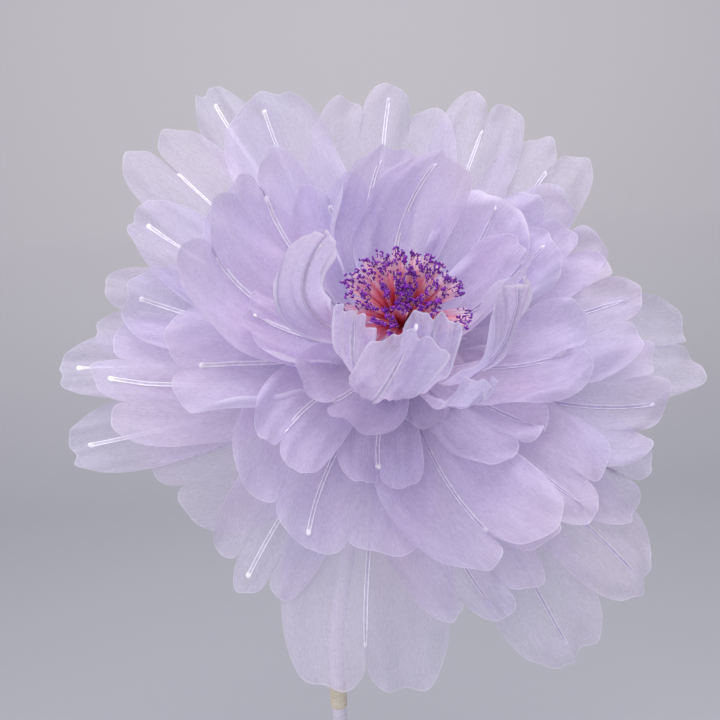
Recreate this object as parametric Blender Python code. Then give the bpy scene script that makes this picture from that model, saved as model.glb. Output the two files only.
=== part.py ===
"""Crepe paper peony: a large layered paper flower head on a wrapped, bent stem with a round steel foot.

Metres, +Z up. The origin is the middle of the foot's underside. The flower faces -Y and up.
"""
import math
from collections import namedtuple

import bmesh
import bpy
import numpy as np
from mathutils import Vector

# Clearances and sheet sizes
SEAT_GAP = 0.0003
SHEET_THICKNESS = 0.0008
RIB_WIDTH = 0.005
RIB_HEIGHT = 0.0016

# Foot
FOOT_DIAMETER = 0.280
FOOT_THICKNESS = 0.005
FOOT_EDGE_ROUND = 0.0015
SOCKET_WALL = 0.0045
SOCKET_HEIGHT = 0.060
SOCKET_FLOOR = 0.004
SOCKET_SIDES = 24
PLATE_SIDES = 48
SCREW_SIDES = 12
CLAMP_HEIGHT = 0.036
CLAMP_SHANK = 0.006
CLAMP_HEAD = 0.016
CLAMP_HEAD_LENGTH = 0.008

# Stem
STEM_DIAMETER = 0.020
STRAIGHT_STEM = 0.620
STEM_SIDES = 14
STEM_STEPS = 12
TAPE_BELOW_BEND = 0.042
TAPE_LENGTH = 0.034
TAPE_BUILD = 0.0012

# Flower head: the place of the hub's top, and how the flower's axis leans
HEAD_PLACE = (0.095, -0.105, 1.100)
HEAD_TILT = math.radians(44.4)
HEAD_TURN = math.radians(8.2)

# Hub of wound paper tape that every petal is glued to
HUB_RIM = 0.001
HUB_LOW_RADIUS = 0.021
HUB_LENGTH = 0.060
HUB_TAIL = 0.025
HUB_NECK = 0.015
NECK_WRAP_LENGTH = 0.024
HUB_SIDES = 20

# Nested bowls that the petals lie on. Nest 0 is the cup round the stamens, nest 1 the outermost petal.
# An angle is measured from the flower's axis to the petal, in a plane through the axis.
CUP_LEAVE_ANGLE = 72.0
LEAVE_ANGLE_GAIN = 14.0
CUP_CURL_PER_METRE = 440.0
GUARD_CURL_PER_METRE = 30.0
SAG_ANGLE = 20.0
SAG_NEST = 0.10
FULL_SAG_NEST = 0.30
SAG_REACH = 0.30
SAG_AT_HUB = 0.35
NEAR_SIDE = 270.0
BOWL_STEPS = 24

# Soft folds that run out through all the layers, counted round the flower; reach is along the sheet
FOLD_HEIGHT = 0.012
FOLD_REACH = 0.25
FOLD_SWING = 2.0
BROAD_FOLDS = 7
NARROW_FOLDS = 15
BROAD_FOLD_SHARE = 0.6

# Petal outline
PETAL_FOOT_WIDTH = 0.006
SHOULDER = 0.72
NOTCH = 0.88
SIDE_LOBE_DROP = 0.12
BARE_TIP = 0.05
RIB_END = 1.0 - BARE_TIP
CUPPED_SHARE = 0.50
TIP_CURL_START = 0.60
LEAST_CUPPING = 0.05
RUFFLE_HEIGHT = 0.004
RUFFLE_HALF_WAVES = 3.0
RUFFLE_SHIFT = 5.0
LOBE_STATIONS = {1: (0.42, 0.78), 2: (0.20, 0.50, 0.84), 3: (0.23, 1.0 / 3.0, 0.60, 0.88)}
CURVED_STATIONS = (0.0, 0.2, 0.42, 0.66, RIB_END, 1.0)
FLAT_STATIONS = (0.0, 0.3, 0.62, RIB_END, 1.0)
FLAT_NEST = 0.50

# Stamens: fringed paper bands rolled round a core
CORE_RADIUS = 0.006
CORE_HEIGHT = 0.052
BAND_HEIGHT = 0.045
BAND_THICKNESS = 0.0018
STAMEN_LENGTH = 0.066
FILAMENT_WIDTH = 0.0018
ANTHER_WIDTH = 0.0042
ANTHER_START = 0.80

Petal = namedtuple("Petal", "name azimuth nest length width lobes curl cupping sweep")

# Azimuth in degrees round the flower's axis: 0 is right, 90 the far side, 180 left, 270 the near side.
# Nest from 0 to 1. Length and width in metres, rounded lobes along the tip, tip curl in metres inward,
# cupping across the petal in degrees, and sweep: how far the tip turns round the axis, in degrees.
PETALS = [
    Petal("cup_petal_1", 238, 0.04, 0.245, 0.068, 1, 0.012, 20, 18),
    Petal("cup_petal_2", 234, 0.00, 0.220, 0.045, 1, 0.002, 20, -10),
    Petal("cup_petal_3", 262, 0.00, 0.232, 0.046, 1, 0.002, 20, 0),
    Petal("cup_petal_4", 180, 0.00, 0.215, 0.056, 1, 0.020, 30, 0),
    Petal("cup_petal_5", 12, 0.08, 0.155, 0.110, 1, 0.004, 40, 4),
    Petal("cup_petal_6", 282, 0.05, 0.205, 0.044, 1, 0.002, 20, 0),
    Petal("cup_petal_7", 298, 0.00, 0.220, 0.045, 1, 0.002, 20, 0),
    Petal("inner_petal_1", 107, 0.20, 0.203, 0.105, 1, 0.002, 8, -17),
    Petal("inner_petal_2", 90, 0.14, 0.199, 0.110, 1, 0.002, 8, -21),
    Petal("inner_petal_3", 40, 0.19, 0.182, 0.105, 1, 0.002, 8, 4),
    Petal("inner_petal_4", 22, 0.27, 0.186, 0.085, 1, 0.004, 20, 0),
    Petal("inner_petal_5", 114, 0.27, 0.186, 0.100, 2, 0.002, 8, 0),
    Petal("inner_petal_6", 222, 0.20, 0.115, 0.130, 2, 0.006, 8, 0),
    Petal("inner_petal_7", 175, 0.23, 0.164, 0.085, 1, 0.006, 14, 0),
    Petal("middle_petal_1", 137, 0.34, 0.237, 0.110, 2, 0.003, 12, -6),
    Petal("middle_petal_2", 146, 0.42, 0.233, 0.115, 1, 0.003, 12, -2),
    Petal("middle_petal_3", 169, 0.28, 0.241, 0.125, 2, 0.003, 12, -11),
    Petal("middle_petal_4", 183, 0.39, 0.229, 0.130, 2, 0.003, 12, 5),
    Petal("middle_petal_5", 206, 0.33, 0.173, 0.100, 2, 0.003, 12, 14),
    Petal("middle_petal_6", 246, 0.40, 0.139, 0.090, 2, 0.002, 10, 8),
    Petal("middle_petal_7", 288, 0.25, 0.079, 0.130, 3, 0.002, 8, -5),
    Petal("middle_petal_8", 317, 0.40, 0.155, 0.140, 3, 0.003, 12, 1),
    Petal("middle_petal_9", 336, 0.32, 0.182, 0.110, 2, 0.003, 12, 12),
    Petal("middle_petal_10", 32, 0.42, 0.217, 0.110, 2, 0.003, 12, 0),
    Petal("outer_petal_1", 229, 0.58, 0.204, 0.230, 3, 0.004, 8, 9),
    Petal("outer_petal_2", 275, 0.50, 0.218, 0.155, 2, 0.004, 8, 14),
    Petal("outer_petal_3", 186, 0.69, 0.294, 0.140, 3, 0.004, 8, -6),
    Petal("outer_petal_4", 153, 0.58, 0.296, 0.090, 1, 0.004, 8, -3),
    Petal("outer_petal_5", 116, 0.62, 0.318, 0.125, 1, 0.004, 10, -3),
    Petal("outer_petal_6", 335, 0.66, 0.274, 0.150, 3, 0.004, 8, 8),
    Petal("outer_petal_7", 28, 0.58, 0.258, 0.130, 2, 0.004, 8, 0),
    Petal("outer_petal_8", 310, 0.60, 0.235, 0.160, 3, 0.004, 8, 0),
    Petal("outer_petal_9", 165, 0.62, 0.272, 0.085, 1, 0.004, 8, 0),
    Petal("outer_petal_10", 271, 0.72, 0.261, 0.140, 3, 0.004, 8, 13),
    Petal("outer_petal_11", 4, 0.54, 0.253, 0.150, 3, 0.004, 8, 0),
    Petal("guard_petal_1", 88, 0.82, 0.333, 0.180, 3, 0.004, 6, -5),
    Petal("guard_petal_2", 62, 0.86, 0.356, 0.110, 2, 0.004, 6, 0),
    Petal("guard_petal_3", 131, 0.90, 0.373, 0.125, 2, -0.004, 6, 0),
    Petal("guard_petal_4", 163, 0.86, 0.306, 0.100, 2, -0.004, 6, 0),
    Petal("guard_petal_5", 175, 0.82, 0.334, 0.080, 1, -0.005, 6, 0),
    Petal("guard_petal_6", 190, 0.92, 0.325, 0.080, 1, 0.005, 10, -1),
    Petal("guard_petal_7", 203, 0.98, 0.258, 0.190, 3, -0.004, 6, -8),
    Petal("guard_petal_8", 225, 0.82, 0.262, 0.115, 3, -0.004, 6, 4),
    Petal("guard_petal_9", 252, 0.90, 0.308, 0.175, 2, 0.003, 6, 5),
    Petal("guard_petal_10", 295, 0.98, 0.332, 0.110, 1, -0.003, 6, 0),
    Petal("guard_petal_11", 313, 0.88, 0.329, 0.110, 1, -0.004, 6, 0),
    Petal("guard_petal_12", 327, 0.84, 0.279, 0.120, 2, 0.004, 6, 0),
    Petal("guard_petal_13", 359, 0.90, 0.336, 0.130, 2, -0.004, 6, 0),
    Petal("guard_petal_14", 45, 0.92, 0.348, 0.120, 2, -0.004, 6, 0),
    Petal("guard_petal_15", 116, 0.96, 0.400, 0.075, 1, -0.004, 6, 0),
]

FringeBand = namedtuple("FringeBand", "name filaments lean")
FRINGE_BANDS = [
    FringeBand("stamen_fringe_inner", 14, 14.0),
    FringeBand("stamen_fringe_middle", 20, 36.0),
    FringeBand("stamen_fringe_outer", 26, 60.0),
]

LILAC = (0.66, 0.60, 0.86)
PALE_LILAC = (0.80, 0.78, 0.90)
TAPE_CREAM = (0.78, 0.74, 0.62)
WHITE_PAINT = (0.86, 0.86, 0.84)
STEEL_GREY = (0.55, 0.56, 0.58)
STAMEN_PINK = (0.80, 0.30, 0.42)


def clear_scene():
    """Remove the objects that a new file starts with."""
    for thing in list(bpy.data.objects):
        bpy.data.objects.remove(thing, do_unlink=True)


def material(name, colour, roughness, metallic=0.0):
    """A Principled material with one plain colour."""
    made = bpy.data.materials.new(name)
    made.use_nodes = True
    shader = made.node_tree.nodes["Principled BSDF"]
    shader.inputs["Base Color"].default_value = (*colour, 1.0)
    shader.inputs["Roughness"].default_value = roughness
    shader.inputs["Metallic"].default_value = metallic
    return made


def add_object(name, mesh_builder, look, parent=None):
    """Turn a bmesh into a named object with its own material, with its faces pointing out."""
    bmesh.ops.recalc_face_normals(mesh_builder, faces=mesh_builder.faces)
    mesh = bpy.data.meshes.new(name)
    mesh_builder.to_mesh(mesh)
    mesh_builder.free()
    thing = bpy.data.objects.new(name, mesh)
    bpy.context.scene.collection.objects.link(thing)
    colour, roughness, metallic = look
    mesh.materials.append(material(name, colour, roughness, metallic))
    mesh.shade_smooth()
    mesh.set_sharp_from_angle(angle=math.radians(35))
    thing.parent = parent
    return thing


def turned(profile, sides):
    """A closed solid turned round Z from a list of (radius, height) points, the first and last on the axis."""
    solid = bmesh.new()
    rings = []
    for radius, height in profile:
        if radius == 0.0:
            rings.append([solid.verts.new((0.0, 0.0, height))])
            continue
        ring = []
        for side in range(sides):
            angle = 2 * math.pi * side / sides
            ring.append(solid.verts.new((radius * math.cos(angle), radius * math.sin(angle), height)))
        rings.append(ring)
    for low, high in zip(rings, rings[1:]):
        for side in range(sides):
            after = (side + 1) % sides
            if len(low) == 1:
                solid.faces.new((low[0], high[side], high[after]))
            elif len(high) == 1:
                solid.faces.new((low[side], high[0], low[after]))
            else:
                solid.faces.new((low[side], high[side], high[after], low[after]))
    return solid


def turned_ring(inner, outer, low, high, sides):
    """A plain ring round Z, such as a wrap of tape."""
    solid = bmesh.new()
    rings = []
    for radius, height in ((inner, low), (outer, low), (outer, high), (inner, high)):
        ring = []
        for side in range(sides):
            angle = 2 * math.pi * side / sides
            ring.append(solid.verts.new((radius * math.cos(angle), radius * math.sin(angle), height)))
        rings.append(ring)
    for index, ring in enumerate(rings):
        following = rings[(index + 1) % len(rings)]
        for side in range(sides):
            after = (side + 1) % sides
            solid.faces.new((ring[side], ring[after], following[after], following[side]))
    return solid


def swept_tube(path, radius, sides):
    """A round bar that follows a path, with flat ends."""
    solid = bmesh.new()
    rings = []
    across = Vector((1.0, 0.0, 0.0))
    for index, point in enumerate(path):
        before = path[max(index - 1, 0)]
        after = path[min(index + 1, len(path) - 1)]
        along = (after - before).normalized()
        across = (across - along * across.dot(along)).normalized()
        beside = along.cross(across)
        ring = []
        for side in range(sides):
            angle = 2 * math.pi * side / sides
            offset = across * math.cos(angle) + beside * math.sin(angle)
            ring.append(solid.verts.new(point + offset * radius))
        rings.append(ring)
    for low, high in zip(rings, rings[1:]):
        for side in range(sides):
            after = (side + 1) % sides
            solid.faces.new((low[side], low[after], high[after], high[side]))
    solid.faces.new(list(reversed(rings[0])))
    solid.faces.new(rings[-1])
    return solid


def bowl(nest, azimuth, reach):
    """Points and inward normals on one nested bowl, for arrays of azimuth (radians) and reach (metres).

    The bowl leaves the hub at its own height and angle, and its angle changes along the reach: the cup
    curls in over the stamens, the guard petals bend back, and all of them sag on the near side.
    """
    radius = np.full(reach.shape, hub_radius(nest) + SEAT_GAP + SHEET_THICKNESS / 2.0)
    height = np.full(reach.shape, -HUB_LENGTH * nest)
    leave = CUP_LEAVE_ANGLE + LEAVE_ANGLE_GAIN * math.sqrt(nest)
    curl = CUP_CURL_PER_METRE * (1.0 - nest) ** 3 - GUARD_CURL_PER_METRE * nest ** 2
    sagging = min(1.0, max(0.0, (nest - SAG_NEST) / (FULL_SAG_NEST - SAG_NEST)))
    sag = SAG_ANGLE * sagging * np.cos(azimuth - math.radians(NEAR_SIDE))
    gain = (1.0 - SAG_AT_HUB) / SAG_REACH
    step = reach / BOWL_STEPS
    for index in range(BOWL_STEPS):
        along = (index + 0.5) * step
        angle = np.radians(leave - curl * along + sag * (SAG_AT_HUB + gain * along))
        radius = radius + np.sin(angle) * step
        height = height + np.cos(angle) * step
    end = np.radians(leave - curl * reach + sag * (SAG_AT_HUB + gain * reach))
    points = np.stack([radius * np.cos(azimuth), radius * np.sin(azimuth), height], axis=-1)
    normals = np.stack([-np.cos(end) * np.cos(azimuth), -np.cos(end) * np.sin(azimuth), np.sin(end)], axis=-1)
    return points + normals * folds(azimuth, reach)[..., None], normals


def folds(azimuth, reach):
    """Height of the soft folds that run out through all the layers alike, so that the sheets still nest."""
    height = FOLD_HEIGHT * np.minimum(reach / FOLD_REACH, 1.0) ** 2
    turn = FOLD_SWING * reach / FOLD_REACH
    broad = np.sin(BROAD_FOLDS * azimuth + turn)
    narrow = np.sin(NARROW_FOLDS * azimuth - turn)
    return height * (BROAD_FOLD_SHARE * broad + (1.0 - BROAD_FOLD_SHARE) * narrow)


def bowl_radius(nest, azimuth, reach):
    """Distance from the flower's axis on a bowl, which sets how wide an angle a petal's width spans."""
    points, _ = bowl(nest, azimuth, reach)
    return np.hypot(points[..., 0], points[..., 1])


def hub_radius(nest):
    """Radius of the hub where a bowl leaves it: the rolled bands stand inside its top edge."""
    top = CORE_RADIUS + len(FRINGE_BANDS) * (BAND_THICKNESS + SEAT_GAP) + HUB_RIM
    return top + (HUB_LOW_RADIUS - top) * nest


def clear_radius(radius, sides):
    """Corner radius of a many-sided bore that stays clear of a round bar all the way round."""
    return (radius + SEAT_GAP) / math.cos(math.pi / sides)


def tip_outline(lobes, across):
    """Share of the petal's length that its outline reaches: round lobes with a notch between neighbours."""
    lobe_half = 1.0 / lobes
    lobe = np.clip(np.floor((across + 1.0) / (2.0 * lobe_half)), 0, lobes - 1)
    centre = -1.0 + lobe_half * (2.0 * lobe + 1.0)
    place = np.clip((across - centre) / lobe_half, -1.0, 1.0)
    outermost = ((lobe == 0) & (place < 0)) | ((lobe == lobes - 1) & (place > 0))
    low = np.where(outermost, SHOULDER, NOTCH)
    crown = 1.0 - SIDE_LOBE_DROP * np.where(lobes == 3, centre ** 2, 0.0)
    return low + (crown - low) * np.sqrt(np.maximum(0.0, 1.0 - place ** 2))


def half_width(petal, share):
    """Half the petal's width at a share of its length: a fan from the foot to the shoulder."""
    fan = np.minimum(share / SHOULDER, 1.0)
    foot = PETAL_FOOT_WIDTH / 2.0
    return foot + (petal.width / 2.0 - foot) * fan * (1.5 - 0.5 * fan ** 2)


def across_stations(petal):
    """Places across a petal from -1 to 1, close together at the rib and at the notches between lobes."""
    right = [RIB_WIDTH / petal.width, *LOBE_STATIONS[petal.lobes], 1.0]
    return np.array([-place for place in reversed(right)] + [0.0] + right)


def petal_surface(petal):
    """Middle points and normals of a petal's sheet, as grids over its length and width."""
    stations = CURVED_STATIONS if petal.nest < FLAT_NEST else FLAT_STATIONS
    share, across = np.meshgrid(np.array(stations), across_stations(petal), indexing="ij")
    share = share * tip_outline(petal.lobes, across)
    reach = share * petal.length
    centre = np.radians(petal.azimuth + petal.sweep * share ** 2)
    half = half_width(petal, share)
    turn = math.radians(petal.cupping) * np.clip(share / CUPPED_SHARE, LEAST_CUPPING, 1.0)
    sideways = half * np.sin(turn * across) / turn
    rise = half * (1.0 - np.cos(turn * across)) / turn
    points, normals = bowl(petal.nest, centre + sideways / bowl_radius(petal.nest, centre, reach), reach)
    phase = math.radians(petal.azimuth) * RUFFLE_SHIFT
    ruffle = RUFFLE_HEIGHT * share ** 3 * across ** 2 * np.sin(RUFFLE_HALF_WAVES * math.pi * across + phase)
    tip = petal.curl * np.maximum(0.0, (share - TIP_CURL_START) / (1.0 - TIP_CURL_START)) ** 2
    points = points + normals * (rise + ruffle + tip)[..., None]
    return points, normals


def petal_solid(petal):
    """A petal as a closed thin sheet, with its wire rib as a ridge along the middle of the inner face."""
    points, normals = petal_surface(petal)
    rows, columns = points.shape[:2]
    middle = columns // 2
    rib = np.zeros((rows, columns))
    rib[1:-1, middle] = RIB_HEIGHT
    inner = points + normals * (SHEET_THICKNESS / 2.0 + rib)[..., None]
    outer = points - normals * (SHEET_THICKNESS / 2.0)
    solid = bmesh.new()
    inner_verts = [[solid.verts.new(point) for point in row] for row in inner]
    outer_verts = [[solid.verts.new(point) for point in row] for row in outer]
    for grid in (inner_verts, outer_verts):
        for row in range(rows - 1):
            for column in range(columns - 1):
                corners = (grid[row][column], grid[row][column + 1])
                corners += (grid[row + 1][column + 1], grid[row + 1][column])
                solid.faces.new(corners)
    border = [(0, column) for column in range(columns)]
    border += [(row, columns - 1) for row in range(1, rows)]
    border += [(rows - 1, column) for column in range(columns - 2, -1, -1)]
    border += [(row, 0) for row in range(rows - 2, 0, -1)]
    for (row, column), (next_row, next_column) in zip(border, border[1:] + border[:1]):
        corners = (inner_verts[row][column], inner_verts[next_row][next_column])
        corners += (outer_verts[next_row][next_column], outer_verts[row][column])
        solid.faces.new(corners)
    bmesh.ops.triangulate(solid, faces=solid.faces)
    return solid


def build_petals(head):
    """Every petal, glued by its foot to the hub."""
    for petal in PETALS:
        add_object(petal.name, petal_solid(petal), (LILAC, 0.85, 0.0), head)


def fringe_solid(order, band):
    """One rolled band whose upper edge is cut into filaments, each with a wider anther at its tip."""
    inner = CORE_RADIUS + SEAT_GAP + order * (BAND_THICKNESS + SEAT_GAP)
    outer = inner + BAND_THICKNESS
    solid = turned_ring(inner, outer, SEAT_GAP, BAND_HEIGHT, band.filaments)
    top = [face for face in solid.faces if all(abs(vert.co.z - BAND_HEIGHT) < 1e-6 for vert in face.verts)]
    lean = math.radians(band.lean)
    for reach, width in ((ANTHER_START, FILAMENT_WIDTH), (1.0 - ANTHER_START, ANTHER_WIDTH)):
        grown = bmesh.ops.extrude_discrete_faces(solid, faces=top)["faces"]
        for face in grown:
            centre = face.calc_center_median()
            azimuth = math.atan2(centre.y, centre.x)
            along = Vector((math.cos(azimuth) * math.sin(lean), math.sin(azimuth) * math.sin(lean), math.cos(lean)))
            beside = Vector((-math.sin(azimuth), math.cos(azimuth), 0.0))
            through = along.cross(beside)
            target = centre + along * STAMEN_LENGTH * reach
            for vert in face.verts:
                side = 1.0 if (vert.co - centre).dot(beside) > 0.0 else -1.0
                depth = 1.0 if (vert.co - centre).dot(through) > 0.0 else -1.0
                vert.co = target + beside * side * width / 2.0 + through * depth * BAND_THICKNESS / 3.0
        top = grown
    return solid


def build_stamens(head):
    """Three fringed bands rolled round the core that stands on the hub's top."""
    for order, band in enumerate(FRINGE_BANDS):
        add_object(band.name, fringe_solid(order, band), (STAMEN_PINK, 0.8, 0.0), head)


def build_hub(head):
    """The wound hub with the core for the stamens on its top, its tail down to the stem's size, and the
    tape that covers the joint."""
    stem_radius = STEM_DIAMETER / 2.0
    tail_end = -HUB_LENGTH - HUB_TAIL
    hub_end = tail_end - HUB_NECK
    profile = [(0.0, CORE_HEIGHT), (CORE_RADIUS * 0.7, CORE_HEIGHT - CORE_RADIUS * 0.3),
               (CORE_RADIUS, CORE_HEIGHT - CORE_RADIUS), (CORE_RADIUS, 0.0),
               (hub_radius(0.0), 0.0), (HUB_LOW_RADIUS, -HUB_LENGTH)]
    for share in (0.25, 0.5, 0.75, 1.0):
        ease = share * share * (3.0 - 2.0 * share)
        profile.append((HUB_LOW_RADIUS + (stem_radius - HUB_LOW_RADIUS) * ease, -HUB_LENGTH - HUB_TAIL * share))
    profile += [(stem_radius, hub_end), (0.0, hub_end)]
    add_object("hub", turned(profile, HUB_SIDES), (PALE_LILAC, 0.85, 0.0), head)
    inner = clear_radius(stem_radius, STEM_SIDES)
    wrap = turned_ring(inner, inner + TAPE_BUILD, hub_end - NECK_WRAP_LENGTH / 2.0,
                       hub_end + NECK_WRAP_LENGTH / 2.0, STEM_SIDES)
    add_object("neck_wrap", wrap, (PALE_LILAC, 0.85, 0.0), head)
    return hub_end


def stem_path(head_matrix, hub_end):
    """Middle line of the stem: straight up from the socket, then a smooth bend to the hub."""
    axis = head_matrix.to_3x3() @ Vector((0.0, 0.0, 1.0))
    top = head_matrix @ Vector((0.0, 0.0, hub_end - SEAT_GAP))
    bend_end = top - axis * NECK_WRAP_LENGTH
    foot = Vector((0.0, 0.0, FOOT_THICKNESS + SOCKET_FLOOR + 2.0 * SEAT_GAP))
    bend_start = Vector((0.0, 0.0, STRAIGHT_STEM))
    pull = (bend_end - bend_start).length
    path = [foot, Vector((0.0, 0.0, STRAIGHT_STEM / 2.0))]
    for index in range(STEM_STEPS + 1):
        share = index / STEM_STEPS
        rise = 2 * share ** 3 - 3 * share ** 2
        point = bend_start * (1.0 + rise) + Vector((0, 0, 1)) * pull * (share ** 3 - 2 * share ** 2 + share)
        point += bend_end * -rise + axis * pull * (share ** 3 - share ** 2)
        path.append(point)
    path.append(top)
    return path


def build_stem(path):
    """The wrapped stem, and the band of tape just below its bend."""
    radius = STEM_DIAMETER / 2.0
    add_object("stem", swept_tube(path, radius, STEM_SIDES), (PALE_LILAC, 0.85, 0.0))
    middle = STRAIGHT_STEM - TAPE_BELOW_BEND
    inner = clear_radius(radius, STEM_SIDES)
    band = turned_ring(inner, inner + TAPE_BUILD, middle - TAPE_LENGTH / 2.0, middle + TAPE_LENGTH / 2.0, STEM_SIDES)
    add_object("stem_tape", band, (TAPE_CREAM, 0.7, 0.0))


def build_foot():
    """The round steel plate, the socket that takes the stem, and its clamp screw."""
    radius = FOOT_DIAMETER / 2.0
    plate = turned([(0.0, 0.0), (radius - FOOT_EDGE_ROUND, 0.0), (radius, FOOT_EDGE_ROUND),
                    (radius, FOOT_THICKNESS - FOOT_EDGE_ROUND), (radius - FOOT_EDGE_ROUND, FOOT_THICKNESS),
                    (0.0, FOOT_THICKNESS)], PLATE_SIDES)
    add_object("foot_plate", plate, (WHITE_PAINT, 0.4, 0.0))
    bore = clear_radius(STEM_DIAMETER / 2.0, SOCKET_SIDES)
    outer = bore + SOCKET_WALL
    low = FOOT_THICKNESS + SEAT_GAP
    high = low + SOCKET_HEIGHT
    socket = turned([(0.0, low), (outer, low), (outer, high - FOOT_EDGE_ROUND), (outer - FOOT_EDGE_ROUND, high),
                     (bore, high), (bore, low + SOCKET_FLOOR), (0.0, low + SOCKET_FLOOR)], SOCKET_SIDES)
    holder = add_object("stem_socket", socket, (WHITE_PAINT, 0.4, 0.0))
    drill = turned([(0.0, -outer), (CLAMP_SHANK / 2.0 + SEAT_GAP, -outer),
                    (CLAMP_SHANK / 2.0 + SEAT_GAP, outer), (0.0, outer)], SCREW_SIDES)
    cutter = add_object("clamp_drill", drill, (WHITE_PAINT, 0.4, 0.0))
    cutter.rotation_euler = (0.0, math.radians(90), 0.0)
    cutter.location = (outer, 0.0, low + CLAMP_HEIGHT)
    cutter.hide_render = True
    cutter.display_type = "WIRE"
    cut = holder.modifiers.new("clamp_hole", "BOOLEAN")
    cut.operation = "DIFFERENCE"
    cut.solver = "EXACT"
    cut.object = cutter
    shank_start = bore + SEAT_GAP
    head_start = outer + SEAT_GAP
    screw = turned([(0.0, shank_start), (CLAMP_SHANK / 2.0, shank_start), (CLAMP_SHANK / 2.0, head_start),
                    (CLAMP_HEAD / 2.0, head_start), (CLAMP_HEAD / 2.0, head_start + CLAMP_HEAD_LENGTH),
                    (0.0, head_start + CLAMP_HEAD_LENGTH)], SCREW_SIDES)
    clamp = add_object("clamp_screw", screw, (STEEL_GREY, 0.35, 1.0))
    clamp.rotation_euler = (0.0, math.radians(90), 0.0)
    clamp.location = (0.0, 0.0, low + CLAMP_HEIGHT)


def main():
    """Build the whole flower."""
    clear_scene()
    head = bpy.data.objects.new("flower_head", None)
    bpy.context.scene.collection.objects.link(head)
    head.location = HEAD_PLACE
    head.rotation_euler = (HEAD_TILT, 0.0, HEAD_TURN)
    bpy.context.view_layer.update()
    build_foot()
    hub_end = build_hub(head)
    build_stem(stem_path(head.matrix_world.copy(), hub_end))
    build_stamens(head)
    build_petals(head)
    bpy.context.view_layer.update()


main()
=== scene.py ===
"""Looks of the crepe paper peony: translucent petals with glued rib wires, stamens, wrapped stem and foot."""
import math
import random
from collections import namedtuple

import bpy
import numpy as np
from mathutils import Matrix, Vector


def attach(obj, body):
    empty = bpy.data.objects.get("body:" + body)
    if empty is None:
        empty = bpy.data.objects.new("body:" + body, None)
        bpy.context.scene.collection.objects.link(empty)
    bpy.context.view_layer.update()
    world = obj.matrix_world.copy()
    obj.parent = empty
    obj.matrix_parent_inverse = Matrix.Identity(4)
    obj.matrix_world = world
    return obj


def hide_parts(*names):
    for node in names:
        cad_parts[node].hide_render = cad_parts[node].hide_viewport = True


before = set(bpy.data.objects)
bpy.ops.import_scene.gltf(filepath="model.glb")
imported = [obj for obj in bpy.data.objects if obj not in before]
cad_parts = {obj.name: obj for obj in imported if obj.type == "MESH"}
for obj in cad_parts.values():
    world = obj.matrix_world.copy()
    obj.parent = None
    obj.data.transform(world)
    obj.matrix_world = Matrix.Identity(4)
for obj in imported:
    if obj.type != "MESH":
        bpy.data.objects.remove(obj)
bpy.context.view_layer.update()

# Flower head, as in the CAD: the place of the hub's top and how the flower's axis leans
HEAD_PLACE = Vector((0.095, -0.105, 1.100))
HEAD_TILT = math.radians(44.4)
HEAD_TURN = math.radians(8.2)
HEAD_LEAN = Matrix.Rotation(HEAD_TURN, 4, "Z") @ Matrix.Rotation(HEAD_TILT, 4, "X")
HEAD = Matrix.Translation(HEAD_PLACE) @ HEAD_LEAN

# Hub and nested bowls, as in the CAD
HUB_TOP_RADIUS = 0.0133
HUB_LOW_RADIUS = 0.021
HUB_LENGTH = 0.060
SEAT_GAP = 0.0003
CUP_LEAVE_ANGLE = 72.0
LEAVE_ANGLE_GAIN = 14.0
CUP_CURL_PER_METRE = 440.0
GUARD_CURL_PER_METRE = 30.0
SAG_ANGLE = 20.0
SAG_NEST = 0.10
FULL_SAG_NEST = 0.30
SAG_REACH = 0.30
SAG_AT_HUB = 0.35
NEAR_SIDE = 270.0
BOWL_STEPS = 24
FOLD_HEIGHT = 0.012
FOLD_REACH = 0.25
FOLD_SWING = 2.0
BROAD_FOLDS = 7
NARROW_FOLDS = 15
BROAD_FOLD_SHARE = 0.6
HALF_THICKNESS = 0.0004

# Petal outline, as in the CAD but with rounder lobes: the foot's width in metres, the rest as shares
PETAL_FOOT_WIDTH = 0.006
SHOULDER = 0.72
NOTCH = 0.88
SIDE_LOBE_DROP = 0.12
ROUNDING = 2.5
CUPPED_SHARE = 0.50
LEAST_CUPPING = 0.05
TIP_CURL_START = 0.60

# Mesh cells along a petal and across one lobe, by the number of lobes, and steps of the sums over a petal
LENGTH_CELLS = 62
LOBE_CELLS = {1: 50, 2: 26, 3: 18}
SECTION_STEPS = 24
FLAT_SAMPLES = 101

# Hand-cut rims: waves across the petal, and their height as a share of its length
CUT_WOBBLES = ((2.6, 0.008), (4.3, 0.005))

# Square-cut cup petals: how much further their corners reach than their middle, as a share of their length
CORNERS = {"cup_petal_1": 0.16, "cup_petal_2": 0.16, "cup_petal_3": 0.14, "cup_petal_7": 0.12}
CORNER_DIP = 0.45
CORNER_POWER = 4
CORNER_BEND = 0.010
CORNER_START = 0.5
CORNER_EASE = 0.4

# Ruffled rims: their height in metres by layer, the waves, which slant outward, and their largest phase
Wave = namedtuple("Wave", "length across along share")
RUFFLE_HEIGHTS = {"cup": 0.0030, "inner": 0.0065, "middle": 0.0065, "outer": 0.0050, "guard": 0.0035}
RUFFLE_WAVES = (Wave(0.062, 1.1, 0.7, 0.85), Wave(0.045, 1.0, -0.5, 0.15))
ANY_PHASE = 6.28
RUFFLE_GAIN_RIGHT = 0.6
RUFFLE_BAND = 0.032
RUFFLE_EASE = 0.6

# Lobes that flare in or out towards the tip, less in the cup: height in metres, and shares
LOBE_FLARE = 0.005
CUP_FLARE_SHARE = 0.3
FLARE_RANGE = (-1.0, 0.5)
FLARE_START = 0.78
FLARE_EASE = 0.3

# Fan-like pleats: waves across the petal and their height in metres
PLEATS = ((2.3, 0.0016), (4.1, 0.0010), (7.7, 0.0005))
PLEAT_GAINS = {"cup": 2.0, "inner": 1.0, "middle": 1.1, "outer": 1.2, "guard": 1.0}
PLEAT_DRIFT = 2.0

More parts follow.
